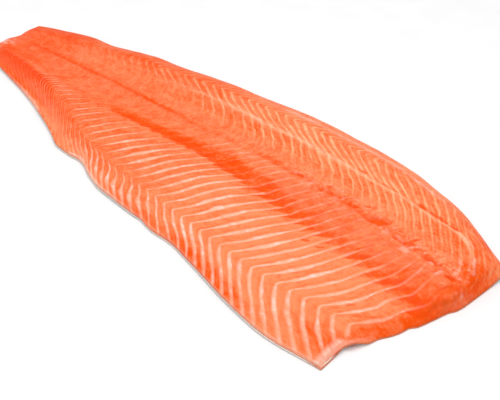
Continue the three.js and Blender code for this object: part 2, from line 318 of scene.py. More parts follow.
# The seam's pale ridge in plan, as (x, y), its half width and its strength, as (x, mm) and (x, share)
SEAM_PLACE = (
    (-60, 47), (-30, 50.5), (0, 52.5), (60, 52.3), (110, 54), (150, 53.7), (180, 53.5), (210, 52.5),
    (235, 49.8), (262, 49), (275, 44), (283, 37), (289, 28), (296, 10),
)
SEAM_WIDTH = (
    (-60, 1.6), (-20, 2.2), (40, 2.4), (120, 2.4), (160, 2), (185, 1.1), (255, 0.9), (268, 1.6),
    (280, 1.4), (296, 0.8),
)
SEAM_SHOW = (
    (-75, 0), (-45, 0.35), (-15, 0.65), (40, 0.85), (100, 0.9), (160, 0.8), (200, 0.6), (255, 0.6),
    (270, 0.95), (282, 0.6), (290, 0.3), (296, 0),
)

# The pale rim of membrane along the belly edge, as (x, width) and (x, share)
RIM_WIDTH = (
    (-300, 1), (-200, 1.4), (-150, 2.6), (-128, 2.2), (-118, 0.8), (-50, 0.8), (-40, 1.5), (0, 1.6),
    (40, 1.2), (60, 0.9), (275, 0.8),
)
RIM_SHOW = (
    (-260, 0), (-205, 0.2), (-180, 0.5), (-135, 0.6), (-118, 0), (-52, 0), (-42, 0.75), (0, 0.65),
    (40, 0.5), (60, 0.3), (120, 0.2), (275, 0.4),
)

# Tears and hollows, as (x, y, half length, half width, turn in degrees, depth)
TEARS = (
    (-57, 12.8, 10, 1.2, 4, 0.5), (-30, 14.5, 7, 1, 8, 0.4), (130, 22.5, 4.2, 1.3, 0, 1.3),
    (154.5, 21, 3.2, 1.7, -50, 1.2), (164, 21.5, 3.2, 1.2, 0, 1), (187, 21.5, 4.5, 1.3, 8, 1.3),
    (198, 28.5, 5, 1.1, 20, 0.7), (212.5, 20.6, 9.5, 3, 199, 2.8), (200, 18.4, 5, 0.8, -20, 0.8),
    (234, 14.8, 4, 0.8, -6, 1), (241.5, 15.3, 4.5, 1.1, 10, 1.4), (245.5, 21, 5, 1.2, 52, 1.4),
    (268, 13.5, 7, 1, 2, 1.2), (286, 11.5, 4.5, 1.6, 28, 1.8), (289, 1, 9, 2.6, 68, 1),
    (146, -11, 4, 1.2, 10, 0.5), (159, -14.5, 4, 1, 4, 0.4), (175, -14.5, 5, 1, 6, 0.4),
    (186, -28, 4.5, 1.2, 25, 0.9), (199, -26.5, 4.2, 1.1, 35, 0.9), (213, -19, 3, 0.8, 20, 0.6),
    (226, 54.8, 7, 2, -6, 1.5), (241, 53, 11, 1.1, -5, 1), (259, 51.2, 7, 0.9, 0, 0.8),
    (165, 56.5, 6, 0.9, 0, 0.6), (190, 55.8, 10, 0.8, 0, 0.6), (252.5, -53, 4, 1.3, 38, 0.3),
    (263, -56.5, 4.2, 1.2, 32, 0.3),
)

# Flecks of fat and membrane that stand a little proud, in the same form. Those near the head cut are
# partly painted wet sheen.
FLECKS_AND_SHEEN = (
    (136.5, 20, 2, 1, -60, 0.6), (158.5, 16, 1.6, 1.2, 0, 0.4), (170.5, 18.5, 3.4, 1.2, 75, 0.5),
    (236, 17, 3, 0.8, -15, 0.4), (247.5, 9.5, 3.2, 2, 20, 1.2), (249, 14, 2.2, 1, 70, 0.8),
    (269, 11.2, 2.6, 1.4, 10, 1.1), (278, 8.5, 3.2, 1.2, 70, 1.1), (284, 3, 2.6, 0.9, 80, 0.7),
    (254.6, -47.5, 2.8, 1.8, 30, 1.1), (301, 11.5, 3.2, 5, 90, 1.2), (281, 27, 6, 1.2, -42, 0.7),
    (288.5, 33.5, 6.5, 1.7, -52, 1.1), (274, 46.5, 6, 0.9, -22, 0.4), (285, 22, 3.6, 1, -50, 0.4),
    (286, 16, 2.4, 1.5, 20, 0.8), (290, 27, 2, 1.6, 60, 0.6), (126, 55.5, 10, 0.8, -4, 0.3),
    (44, 53.2, 8, 0.8, 1, 0.3),
)

# Fine relief, in mm
BLOCK_BULGE = 0.3
LINE_HOLLOW = 0.2
BAND_HOLLOW = 0.6
GROOVE_HOLLOW = 1.0
SEAM_RIDGE_HEIGHT = 0.4
FIBRE_HEIGHT = 0.07

# Fields that belong to the upper surface and fade out down its rim
SURFACE_MARKS = ("line_show", "fine_show", "ridge", "torn", "crease_shade", "rough")

# Mesh fineness: columns along the fish, steps between its six lines, and rings down the rim
FLESH_COLUMNS = 470
FLESH_STEPS = (24, 48, 20, 30, 48)
FLESH_RINGS = 8
SKIN_COLUMNS = 430
SKIN_STEPS = (24, 50, 26, 36, 52)
SKIN_RINGS = 4
PLAIN_EVERY = 16
EDGE_CROWDING = 1.35
COLUMN_CROWDING = 0.1

# Colours
DEEPEST_ORANGE = "e64300"
DEEP_ORANGE = "e84f05"
LIGHT_SALMON = "ef8658"
WHITE_LINE = "efb297"
# Pale fat and membrane, and painted sheen on the flecks near the head cut
FAT_AND_SHEEN = "e4c0ad"
TORN = "e95203"
PINK = "eb765b"
PEACH_LINE = "efaa7e"
SEAM_RIDGE = "efb590"
LINE_SHADE = "e55a0a"
BRIGHT_LINE = "efcabb"
# Painted shade in the torn creases and along the far edges of tears
CREASE_SHADE = "de4203"
# Painted shade in the head cut's face; it also darkens the back a little at the tail
SHADE_BROWN = "cf4c14"
SKIN_BACK = "39424a"
SKIN_SIDE = "aab2b6"
SKIN_BELLY = "e4e6e4"
SKIN_CUT = "d2c6be"
SKIN_HEAD_CUT = "cf6a3c"
SKIN_SPOT = "1f2529"
FLOOR = "e9e9e9"
FLOOR_PALER = "f0f0f0"

# Between these lies most of a noise, and so large are the streaks in the flesh, in mm
NOISE_LOW, NOISE_HIGH = 0.3, 0.7
STREAKS_PER_BLOCK, STREAK_LENGTH, STREAK_DEPTH = 4, 7, 4

# Camera, floor and light, in metres and watts
CAMERA_PLACE = (0.5158, -0.3784, 0.3841)
CAMERA_TARGET = (0.10934, -0.00989, 0.0)
CAMERA_LENS = 60
CAMERA_SENSOR = 36
FLOOR_SIZE = 8.0
FLOOR_GAP = 0.0001
WORLD_STRENGTH = 0.75
LAMP_PLACE = (0.2, -0.25, 1.6)
LAMP_SIZE = 2.2
LAMP_POWER = 21


# Curves

def level_tangents(gaps, slopes):
    """Slopes of a curve at its points: a weighted harmonic mean, or level where it turns round."""
    before = 2 * gaps[1:] + gaps[:-1]
    after = gaps[1:] + 2 * gaps[:-1]
    same_way = slopes[:-1] * slopes[1:] > 0
    first = np.where(same_way, slopes[:-1], 1)
    second = np.where(same_way, slopes[1:], 1)
    inner = np.where(same_way, (before + after) / (before / first + after / second), 0)
    return np.concatenate((slopes[:1], inner, slopes[-1:]))


def smooth_through(places, values, at):
    """A smooth curve through a value or a row of values at each place, which doesn't swing past
    them."""
    gaps = np.diff(places).reshape(-1, *[1] * (values.ndim - 1))
    rises = np.diff(values, axis=0)
    tangents = level_tangents(gaps, rises / gaps)
    at = np.clip(at, places[0], places[-1])
    i = np.clip(np.searchsorted(places, at, side="right") - 1, 0, len(gaps) - 1)
    t = (at - places[i]) / gaps[i]
    start = tangents[i] * gaps[i]
    end = tangents[i + 1] * gaps[i]
    bend = 3 * rises[i] - 2 * start - end + t * (start + end - 2 * rises[i])
    return values[i] + t * (start + t * bend)


def curve(points, at):
    """A smooth curve through a few points."""
    places, values = np.array(points, float).T
    return smooth_through(places, values, at)


def quarter_round(t):
    """Quarter of a circle: 0 at 0, and 1 and level at 1."""
    rest = 1 - np.clip(t, 0, 1)
    return np.sqrt(1 - rest * rest)


def curl_up(distance, width):
    """Rises from 0 at the inner side of a strip to 1 at the edge, bending more and more."""
    return np.clip(1 - distance / width, 0, 1) ** 2


def fade(value, low, high):
    """0 at low, 1 at high and smooth between. Low may be the greater of the two."""
    t = np.clip((value - low) / (high - low), 0, 1)
    return t * t * (3 - 2 * t)


def hump(distance, half_width):
    """1 in the middle, about a third at the half width, and then soon 0."""
    return np.exp(-((distance / half_width) ** 2))


def inside(value, limits):
    """1 inside the limits of a change and 0 outside them."""
    if isinstance(limits, list):
        return hump(value - limits[0], limits[1])
    share = fade(value, limits[0], limits[1])
    if len(limits) == 4:
        share = share * fade(value, limits[3], limits[2])
    return share


def changes(table, x, across):
    """What each change in a table amounts to at each place."""
    return [change * inside(x, along) * inside(across, limits) for change, along, limits in table]


def noise(x, y, size, seed):
    """Smooth noise between -1 and 1, with lumps of about that size."""
    cells = 256
    lattice = np.random.default_rng(seed).uniform(-1, 1, (cells, cells))
    i = np.floor(x / size).astype(int)
    j = np.floor(y / size).astype(int)
    s = fade(x / size - i, 0, 1)
    t = fade(y / size - j, 0, 1)
    left = lattice[i % cells, j % cells] * (1 - t) + lattice[i % cells, (j + 1) % cells] * t
    right = lattice[(i + 1) % cells, j % cells] * (1 - t) + lattice[(i + 1) % cells, (j + 1) % cells] * t
    return left * (1 - s) + right * s


# Plan

def row_y(row, x):
    """Y of a row at x, part of the way between two of the body's lines."""
    line = min(int(row), len(BODY_LINES) - 2)
    start = curve(BODY_LINES[line], x)
    return start + (curve(BODY_LINES[line + 1], x) - start) * (row - line)


def row_end(row, cut):
    """X where a row meets a cut end, found in a few steps because the row's y depends on x."""
    x = curve(cut, 0)
    for _ in range(5):
        x = curve(cut, row_y(row, x))
    return float(x)


def spread_rows(steps):
    """Rows of a mesh from the belly edge to the back, closer together toward the two edges."""
    parts = [np.linspace(0, 1, steps[0] + 1)[:-1] ** EDGE_CROWDING]
    for line in range(1, 4):
        parts.append(line + np.linspace(0, 1, steps[line] + 1)[:-1])
    parts.append(BACK - np.linspace(1, 0, steps[4] + 1) ** EDGE_CROWDING)
    return np.concatenate(parts)


def plan_grid(rows, columns, slant):
    """X and Y of a grid over the whole fillet, whose head end is drawn back by the slant."""
    even = np.linspace(0, 1, columns)
    crowded = (1 - np.cos(np.pi * even)) / 2
    share = even + (crowded - even) * COLUMN_CROWDING
    starts = np.array([row_end(row, TAIL_CUT) for row in rows])[:, None]
    ends = np.array([row_end(row, HEAD_CUT) - slant for row in rows])[:, None]
    x = starts + (ends - starts) * share
    y = np.array([row_y(row, line) for row, line in zip(rows, x)])
    return x, y


def frame_shift():
    """Middle of the outline's box, less the middle of the CAD flesh's box."""
    x, y = plan_grid(spread_rows(SKIN_STEPS), SKIN_COLUMNS, 0)
    low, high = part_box("flesh")
    middle_x = (x.min() + x.max()) / 2 - (low[0] + high[0]) / 2 / MM
    middle_y = (y.min() + y.max()) / 2 - (low[1] + high[1]) / 2 / MM
    return np.array([middle_x, middle_y, 0])


def from_head_cut(x, y):
    """How far a place on the flesh's top is from its slanting head end."""
    return curve(HEAD_CUT, y) - HEAD_SLANT - x


# Heights

def skin_underside(x, y):
    """On the table, but lifted at the two long edges and in the front corner's arch."""
    back = curve(BACK_LIFT, x) * curl_up(curve(BACK_EDGE, x) - y, BACK_LIFT_WIDTH)
    wave = BELLY_LIFT + BELLY_WAVE * np.sin(2 * np.pi * x / BELLY_WAVELENGTH)
    belly = wave * curl_up(y - curve(BELLY_EDGE, x), BELLY_LIFT_WIDTH)
    arch = LIFT_HEIGHT * hump(y - LIFT_Y, LIFT_HALF_WIDTH) * curl_up(LIFT_X - x, LIFT_DEPTH)
    return back + belly + arch


def full_heights(rows, x):
    """Height of the flesh over a grid, before its edges are rounded."""
    full = []
    for row, line in zip(rows, x):
        heights = [curve(EDGE_HEIGHT, line), BELLY_BULGE * curve(LINE_HEIGHTS[0], line)]
        heights += [curve(height, line) for height in LINE_HEIGHTS]
        full.append(smooth_through(np.array(SECTION_ROWS), np.array(heights), row))
    return np.array(full)


def flesh_top(rows, x, y):
    """Height of the flesh's upper surface over a grid, without its fine relief."""
    underside = skin_underside(x, y) + SKIN_THICKNESS
    full = np.maximum(full_heights(rows, x) - underside - EDGE_WALL, 0)
    shoulder = quarter_round((curve(BACK_EDGE, x) - y) / curve(SHOULDER_WIDTH, x))
    brim = quarter_round(0.35 + (y - curve(BELLY_EDGE, x)) / BELLY_ROUND)
    rolled = 1 - quarter_round(from_head_cut(x, y) / curve(HEAD_ROUND, y))
    head = 1 - curve(HEAD_ROUND_SHARE, y) * rolled
    from_tail = x - curve(TAIL_CUT, y)
    taper = TAIL_THINNEST + (1 - TAIL_THINNEST) * quarter_round(from_tail / TAIL_TAPER)
    return underside + (EDGE_WALL + full * shoulder * brim * head) * taper


# White lines

def sweep(row, wall_x):
    """How far toward the head each line has run on a row, with the folds rounded, and more so
    toward the tail."""
    rows = [sweep_row for sweep_row, _ in SWEEPS]
    table = np.array([curve(points, wall_x) for _, points in SWEEPS])
    versions = []
    for reach in (curve(SWEEP_ROUNDING, row), TAIL_ROUNDING):
        total = np.zeros_like(wall_x)
        for at in np.clip(row + np.linspace(-reach, reach, 7), rows[0], rows[-1]):
            i = min(int(np.searchsorted(rows, at, side="right")) - 1, len(rows) - 2)
            t = (at - rows[i]) / (rows[i + 1] - rows[i])
            total += table[i] * (1 - t) + table[i + 1] * t
        versions.append(total / 7)
    return versions[0] + (versions[1] - versions[0]) * fade(wall_x, -110, -160)


def line_numbers(rows, x, y):
    """Number of the white line at each place: whole on a line, and between two wholes elsewhere."""
    wall_x = np.arange(-420.0, 421.0)
    wall_number = curve(LINE_NUMBERS, wall_x)
    number = [np.interp(line, wall_x + sweep(row, wall_x), wall_number) for row, line in zip(rows, x)]
    wobble = noise(x, y, 17, seed=1) + 0.4 * noise(x, y, 6, seed=2)
    number = np.array(number) + LINE_WOBBLE * wobble
    uneven = noise(x, y, 10, seed=34) + 0.5 * noise(x, y, 5, seed=35)
    number += (LOIN_WOBBLE * fade(rows[:, None], 3, 3.3) + TAIL_WOBBLE * fade(x, -130, -200)) * uneven
    radius = np.hypot(x - ARC_X, 0.9 * (y - ARC_Y)) + 1.2 * noise(x, y, 11, seed=36)
    turned = fade(radius, 20, 33) * fade(x, 262, 280) * fade(rows[:, None], 2.6, 3.2)
    return number + (ARC_NUMBER + (radius - ARC_RADIUS) / ARC_GAP - number) * turned


def steepness(value, x, y):
    """Length of a value's slope over a grid whose rows run along x."""
    along = np.gradient(value, axis=1) / np.gradient(x, axis=1)
    across = (np.gradient(value, axis=0) - along * np.gradient(x, axis=0)) / np.gradient(y, axis=0)
    return np.hypot(along, across)


def own_values(number, seed):
    """A value between -1 and 1 of its own for each whole number."""
    values = np.random.default_rng(seed).uniform(-1, 1, 2 * MOST_LINES)
    return values[np.clip(np.round(number).astype(int) + MOST_LINES, 0, len(values) - 1)]


def line_looks(row, x, y, number):
    """How strongly the white lines show, and half their width as a share of the next one's distance."""
    front = curve(LINE_SHOW_FRONT, row)
    rear = fade(x, 70, 0) + (fade(x, 5, -35) - fade(x, 70, 0)) * fade(row, 3, 3.3)
    show = front + (curve(LINE_SHOW_REAR, row) - front) * rear
    show *= curve(LINE_SHOW_ALONG, x)
    show *= 1 - TAIL_STRIP_FAINTER * fade(x, -120, -170) * fade(row, 1.6, 2)
    show += LOIN_TAIL_SHOW * fade(row, 3.3, 3.7) * inside(x, (-260, -200, -60, 60))
    flank = inside(x, (-60, 0, 175, 215)) * hump(row - 1.42 - 0.1 * own_values(number, 3), 0.17)
    wall = inside(x, (-30, 5, 55, 85)) * hump(row - 0.3 - 0.04 * own_values(number, 4), 0.12)
    swell = 0.9 * flank * (0.6 + 0.4 * own_values(number, 5)) + 1.5 * wall
    lively = 0.25 * noise(x, y, 6, seed=4) + 0.15 * noise(x, y, 2.5, seed=25)
    lively *= 1 + fade(row, 3, 3.3)
    show *= 1 + 0.12 * own_values(number, 6) + lively + 0.25 * swell
    for change in changes(SHOW_CHANGES, x, row):
        show *= 1 + change
    show *= 1 - 0.85 * fade(from_head_cut(x, y) + noise(x, y, 9, seed=41), 6, 1.5)
    width = curve(LINE_WIDTHS, row) * (1 + sum(changes(WIDTH_CHANGES, x, row)))
    width *= 1 + 0.3 * noise(x, y, 7, seed=5) + 0.45 * swell
    return show, np.maximum(0.5 * width * steepness(number, x, y), 0.02)


# Colour fields and relief

def patches(marks, x, y, seed, raggedness=1.0):
    """How much of the marked patches lies at each place, their depth there, and the painted shade along
    their far edge.
    """
    share = np.zeros_like(x)
    depth = np.zeros_like(x)
    far_edge_shade = np.zeros_like(x)
    ragged = raggedness * (0.22 * noise(x, y, 2.2, seed) + 0.12 * noise(x, y, 5, seed + 1))
    for middle_x, middle_y, half_length, half_width, turn, deep in marks:
        cosine = np.cos(np.radians(turn))
        sine = np.sin(np.radians(turn))
        along = cosine * (x - middle_x) + sine * (y - middle_y)
        across = cosine * (y - middle_y) - sine * (x - middle_x)
        cover = fade(np.hypot(along / half_length, across / half_width) + ragged, 1.15, 0.75)
        share = np.maximum(share, cover * min(1, 0.35 + 0.35 * deep))
        depth = np.maximum(depth, cover * deep)
        # Painted shade along each patch's far edge, where its rim would cast shade
        far_edge_shade = np.maximum(far_edge_shade, cover * fade(across / half_width, 0.1, 0.6) * min(deep, 1))
    return share, depth, far_edge_shade


def into_block(number):
    """Place within a muscle block, from 0 at the line on its tail side to 1 at the next line."""
    return number - np.floor(number)


def band_field(x, y, number):
    """The deep orange band over the ribs. Toward the head each muscle block has its own patch of it."""
    parted = fade(x, 20, 110)
    block = np.floor(number)
    slant = 5 + 6 * fade(x, 120, 170)
    step = parted * (2.2 * own_values(block, 7) + slant * (into_block(number) - 0.5))
    half = 0.5 * curve(BAND_WIDTH, x) * (1 + 0.3 * parted * own_values(block, 8))
    ragged = 1.2 * noise(x, y, 4, seed=6) + 0.6 * noise(x, y, 1.8, seed=26)
    ragged = ragged + 2.5 * fade(x, 60, 20) * hump(number - np.round(number), 0.3)
    at = (y - curve(BAND_PLACE, x) - step + ragged) / half
    core = fade(at, -1.2, -0.75) * fade(at, 1.5, -0.7 + 1.0 * fade(x, -10, 60))
    deep = 1 + 0.3 * parted * own_values(block, 31)
    return np.clip(curve(BAND_SHOW, x) * core * deep, 0, 1)


def membrane_field(row, x, y, number):
    """The darker, pinker membrane between the ribs and the backbone, which ends in a step at each
    block."""
    step = 3.0 * own_values(np.floor(number), 9) + 9 * (into_block(number) - 0.5)
    near = y - curve(MEMBRANE_EDGE, x) - step
    return inside(x, (75, 125, 262, 300)) * fade(near, -2.5, 2.5) * fade(row, 3.4, 3.0)


def groove_field(x, y):
    """The groove that the backbone left, wandering a little and stronger in places."""
    wander = 0.8 * noise(x, 0 * y, 14, seed=7)
    broken = 0.85 + 0.15 * noise(x, y, 12, seed=8)
    return curve(GROOVE_SHOW, x) * broken * hump(y - curve(GROOVE_PLACE, x) - wander, 2.1)


def seam_field(x, y, number):
    """The seam's pale ridge, braided from short streaks, and beaded where the white lines reach it."""
    wander = 0.8 * noise(x, 0 * y, 9, seed=10) + 0.5 * noise(x, y, 2.5, seed=27)
    ridge = hump(y - curve(SEAM_PLACE, x) - wander, curve(SEAM_WIDTH, x))
    streaks = noise(x / 3.5 + y / 2, y, 1.1, seed=11) + 0.5 * noise(x, y, 2, seed=37)
    streaks = fade(streaks, -0.5, 0.5)
    beads = (0.4 + 0.6 * streaks) * (0.7 + 0.5 * hump(number - np.round(number), 0.25))
    return np.clip(ridge * (beads + fade(x, 165, 190) * (0.9 - beads)), 0, 1)


def fat_field(row, x, y):
    """Pale fat and membrane: the belly rim, the front corner, the back and the tail end."""
    from_belly = y - curve(BELLY_EDGE, x)
    rim_width = curve(RIM_WIDTH, x) * (1 + 0.3 * noise(x, y, 9, seed=9))
    rim = curve(RIM_SHOW, x) * fade(from_belly, 1.15 * rim_width, 0.45 * rim_width)
    corner = 0.8 * fade(from_head_cut(x, y), 5, 0.5) * fade(y, -77, -81)
    corner = np.maximum(corner, 0.6 * fade(np.hypot(x - 275, y + 104), 7, 2))
    back = 0.55 * inside(x, (0, 70, 215, 250)) * hump(row - 4.6, 0.045)
    back *= 0.8 + 0.4 * noise(x, y, 12, seed=12)
    streaks = np.clip(0.45 + 1.1 * noise(x / 5, y, 1.7, seed=13), 0, 1)
    tail = 0.8 * streaks * fade(x, -262, -284) * hump(y + 14, 9)
    return np.clip(rim + corner + back + tail, 0, 1)


def paleness_field(row, x, y, band, groove, membrane):
    """From 0, deep orange, to 1, light salmon."""
    from_head = from_head_cut(x, y)
    uneven = 2.5 * noise(x, y, 9, seed=38)
    flank = curve(FLANK_PALENESS, x)
    middle = curve(MIDDLE_PALENESS, x)
    loin = curve(LOIN_PALENESS, x)
    pale = flank + (middle - flank) * fade(row, 1.7, 2.3)
    pale += (loin - pale) * fade(row, 2.9, 3.4)
    pale += sum(changes(PALE_BY_ROW, x, row)) + sum(changes(PALE_BY_Y, x, y))
    pale += sum(changes(PALE_BY_HEAD, from_head, y))
    pale -= 0.42 * fade(from_head + uneven, 11, 3) * fade(y, -80, -66)
    pale -= 0.2 * fade(from_head + 2 * uneven, 28, 8) * inside(y, (-34, -18, 14, 34))
    band_deeper = BAND_DEEPER + (BAND_DEEPER_HEAD - BAND_DEEPER) * fade(x, -10, 60)
    pale -= MEMBRANE_DEEPER * membrane + band_deeper * band + GROOVE_DEEPER * groove
    return np.clip(pale, -0.5, 1.1)


def relief_field(row, x, y, fields):
    """Height of the fine relief on the flesh's upper surface."""
    from_line = fields["line_number"] - np.round(fields["line_number"])
    blocks = BLOCK_BULGE * fields["line_show"] * (0.5 - 4 * from_line * from_line)
    lines = -LINE_HOLLOW * fields["line_show"] * hump(from_line, fields["line_half"])
    rough = fade(x, 105, 160) * hump(y - curve(GROOVE_PLACE, x), 9)
    torn = rough * (0.5 * noise(x / 2, y, 3, seed=14) + 0.4 * noise(x, y, 8, seed=15))
    uneven = 0.45 * noise(x, y, 32, seed=16) + 0.2 * noise(x, y, 12, seed=17)
    fibres = FIBRE_HEIGHT * noise(x / 3, y, 2, seed=18)
    hollows = -BAND_HOLLOW * fields["band"] - GROOVE_HOLLOW * fields["groove"]
    seam = SEAM_RIDGE_HEIGHT * fields["ridge"]
    edges = inside(row, (0, 0.12, BACK - 0.1, BACK)) * inside(x, (-296, -280, 288, 295))
    return blocks + lines + (torn + uneven + hollows + seam) * edges + fibres


def fine_fields(row, x, y, number):
    """How strongly the finer lines show, and how strongly all lines show at the tail at least."""
    wall, tail, back, loin = changes(FINE_LINES, x, row)
    tail = tail * (1 + 0.5 * fade(row, 1.8, 1.4)) * (0.3 + 0.7 * fade(x, -230, -170))
    tail = tail * (0.8 + 0.8 * noise(x, y, 13, seed=39))
    head = np.maximum(back, loin) * (1 + 0.5 * own_values(number - 0.5, 40))
    return np.maximum(np.maximum(wall, tail), head), 1.1 * tail


def dark_field(row, x, y):
    """Painted shade that darkens the hollow of the head cut's face, and the greyer back at the tail."""
    ragged_end = 2.5 * noise(x, y, 7, seed=32) + 1.5 * noise(x, y, 3, seed=33)
    hollow = fade(y, -28, -12) * (0.75 * fade(y, 15, 6) + 0.3 * inside(y, (6, 15, 24, 36)))
    hollow = hollow * fade(from_head_cut(x, y) + ragged_end, 8, 0)
    return np.maximum(hollow, 0.12 * fade(x, -130, -170) * fade(row, 4.2, 4.6))


def flesh_fields(rows, x, y):
    """What the flesh's material and relief need to know at each point of a grid."""
    row = rows[:, None] + 0 * x
    number = line_numbers(rows, x, y)
    band = band_field(x, y, number)
    groove = groove_field(x, y)
    membrane = membrane_field(row, x, y, number)
    show, half_width = line_looks(row, x, y, number)
    fine_show, least_show = fine_fields(row, x, y, number)
    show = np.maximum(show, least_show) * (1 - 0.85 * band * fade(x, 150, 100))
    # The tears' third field is painted shade along their far edges
    torn, tear_depth, crease_shade = patches(TEARS, x, y, seed=21)
    flecks_and_sheen, fleck_height, _ = patches(FLECKS_AND_SHEEN, x, y, seed=23, raggedness=2.2)
    rough = fade(x, 100, 140) * hump(y - curve(GROOVE_PLACE, x) - 2, 9)
    specks = noise(x, y, 3.2, seed=29) + 0.5 * noise(x, y, 1.6, seed=30)
    # Flecks near the head cut are fat and also painted wet sheen
    fat = np.maximum(fat_field(row, x, y), 0.7 * flecks_and_sheen)
    fat = np.maximum(fat, 0.4 * rough * fade(specks, -0.45, -0.9) * fade(tear_depth, 0.6, 0.1))
    pink = np.maximum(membrane, 0.5 * fade(row, 2.1, 2.5) * fade(row, 3.6, 3.2))
    grain = 0.55 + 0.3 * fade(row, 2.9, 3.2) * fade(x, -20, 100) + 0.2 * band
    fields = {
        "line_number": number,
        "line_show": show,
        "line_half": half_width,
        "fine_show": fine_show,
        "band": band,
        "groove": groove,
        "ridge": curve(SEAM_SHOW, x) * seam_field(x, y, number),
        "torn": np.maximum(torn, 0.7 * rough * fade(specks, 0.35, 0.8)),
        "crease_shade": crease_shade,
        "rough": np.maximum(rough, 0.5 * fade(x, -60, 60) * hump(row - 3.1, 0.25)),
        "fat": fat,
        "paleness": paleness_field(row, x, y, band, groove, membrane),
        "pink": pink * (1 - 0.9 * band),
        "peach": np.maximum(fade(row, 2.9, 3.2), 0.8 * fade(x, 0, -70) * fade(row, 1.05, 0.8)),
        "dark": dark_field(row, x, y),
        "grain": grain - 0.35 * fade(x, -130, -170) * fade(row, 1.8, 1.4),
    }
    return fields, relief_field(row, x, y, fields) - tear_depth + fleck_height


# Meshes

def rim_loop(rows, columns):
    """Row and column of each point round a grid, anticlockwise seen from above."""
    loop = [(0, j) for j in range(columns - 1)]
    loop += [(i, columns - 1) for i in range(rows - 1)]
    loop += [(rows - 1, j) for j in range(columns - 1, 0, -1)]
    loop += [(i, 0) for i in range(rows - 1, 0, -1)]
    return loop


def closed_shell(name, fine, border, ring_count, bulge, fine_is_top):
    """One closed mesh from two sheets of x, y and z over the same grid: the fine one, a rim of
    rings to the other one's border, and the other one itself with only a few of its rows. The rim
    stands out halfway down by what bulge gives."""
    rows, columns, _ = fine.shape
    plain_rows = [*range(0, rows - 1, PLAIN_EVERY), rows - 1]
    loop = rim_loop(rows, columns)
    loop_i, loop_j = np.array(loop).T
    start = fine[loop_i, loop_j]
    end = border[loop_i, loop_j]
    outward = np.stack((
        1.0 * (loop_j == columns - 1) - 1.0 * (loop_j == 0),
        1.0 * (loop_i == rows - 1) - 1.0 * (loop_i == 0),
        0.0 * loop_i,
    ), -1)
    points = [fine.reshape(-1, 3)]
    rings = [loop_i * columns + loop_j]
    made = rows * columns
    for ring in range(1, ring_count + 1):
        t = ring / ring_count
        place = start + (end - start) * t
        points.append(place + outward * (np.sin(np.pi * t) * bulge(place))[:, None])
        rings.append(made + np.arange(len(loop)))
        made += len(loop)
    inner = {}
    for row in plain_rows[1:-1]:
        points.append(border[row, 1:-1])
        inner[row] = made + np.arange(columns - 2)
        made += columns - 2
    index = np.arange(rows * columns).reshape(rows, columns)
    quads = np.stack((index[:-1, :-1], index[:-1, 1:], index[1:, 1:], index[1:, :-1]), -1)
    faces = quads.reshape(-1, 4).tolist()
    for upper, lower in zip(rings, rings[1:]):
        ahead = np.roll(np.arange(len(loop)), -1)
        faces += np.stack((lower, lower[ahead], upper[ahead], upper), -1).tolist()
    faces += plain_faces(dict(zip(loop, rings[-1].tolist())), inner, plain_rows, columns)
    if not fine_is_top:
        faces = [face[::-1] for face in faces]
    mesh = bpy.data.meshes.new(name)
    mesh.from_pydata((np.concatenate(points) - SHIFT) * MM, [], faces)
    mesh.polygons.foreach_set("use_smooth", [True] * len(mesh.polygons))
    piece = bpy.data.objects.new(name, mesh)
    bpy.context.collection.objects.link(piece)
    return piece


def plain_faces(rim, inner, plain_rows, columns):
    """Faces of the plain sheet. Its end faces take in all of the rim's points between two rows."""
    def corner(row, column):
        if (row, column) in rim:
            return rim[row, column]
        return int(inner[row][column - 1])

    faces = []
    for low, high in zip(plain_rows, plain_rows[1:]):
        for j in range(1, columns - 2):
            faces.append([corner(low, j), corner(high, j), corner(high, j + 1), corner(low, j + 1)])
        tail = [corner(i, 0) for i in range(low, high + 1)]
        faces.append([corner(low, 1)] + tail + [corner(high, 1)])
        head = [corner(i, columns - 1) for i in range(high, low - 1, -1)]
        faces.append([corner(high, columns - 2)] + head + [corner(low, columns - 2)])
    return faces


def rim_values(name, edge, ring_count):
    """A field down the rim: the edge's own values at its top, which even out further down. Marks of
    the upper surface fade out on the way."""
    reach = 12
    even = np.convolve(np.pad(edge, reach, "wrap"), np.ones(2 * reach + 1) / (2 * reach + 1), "valid")
    if name == "line_number":
        even = edge
    rings = []
    for ring in range(1, ring_count + 1):
        t = ring / ring_count
        kept = (1 - t) ** 2 if name in SURFACE_MARKS else 1
        rings.append(kept * (edge + (even - edge) * min(1, 4 * t)))
    return np.concatenate(rings)


def add_fields(piece, fields, ring_count):
    """Numbers at the mesh's points for its material, on the fine sheet and down the rim."""
    rows, columns = next(iter(fields.values())).shape
    loop_i, loop_j = np.array(rim_loop(rows, columns)).T
    for name, values in fields.items():
        field = piece.data.attributes.new(name, "FLOAT", "POINT")
        padded = np.zeros(len(piece.data.vertices), np.float32)
        known = np.concatenate((values.ravel(), rim_values(name, values[loop_i, loop_j], ring_count)))
        padded[:len(known)] = known
        field.data.foreach_set("value", padded)


# Materials

def linear(colour):
    """Linear RGBA of a colour given as six hexadecimal digits of sRGB."""
    parts = [int(colour[i:i + 2], 16) / 255 for i in (0, 2, 4)]
    return (*((part / 12.92 if part <= 0.04045 else ((part + 0.055) / 1.055) ** 2.4) for part in parts), 1)


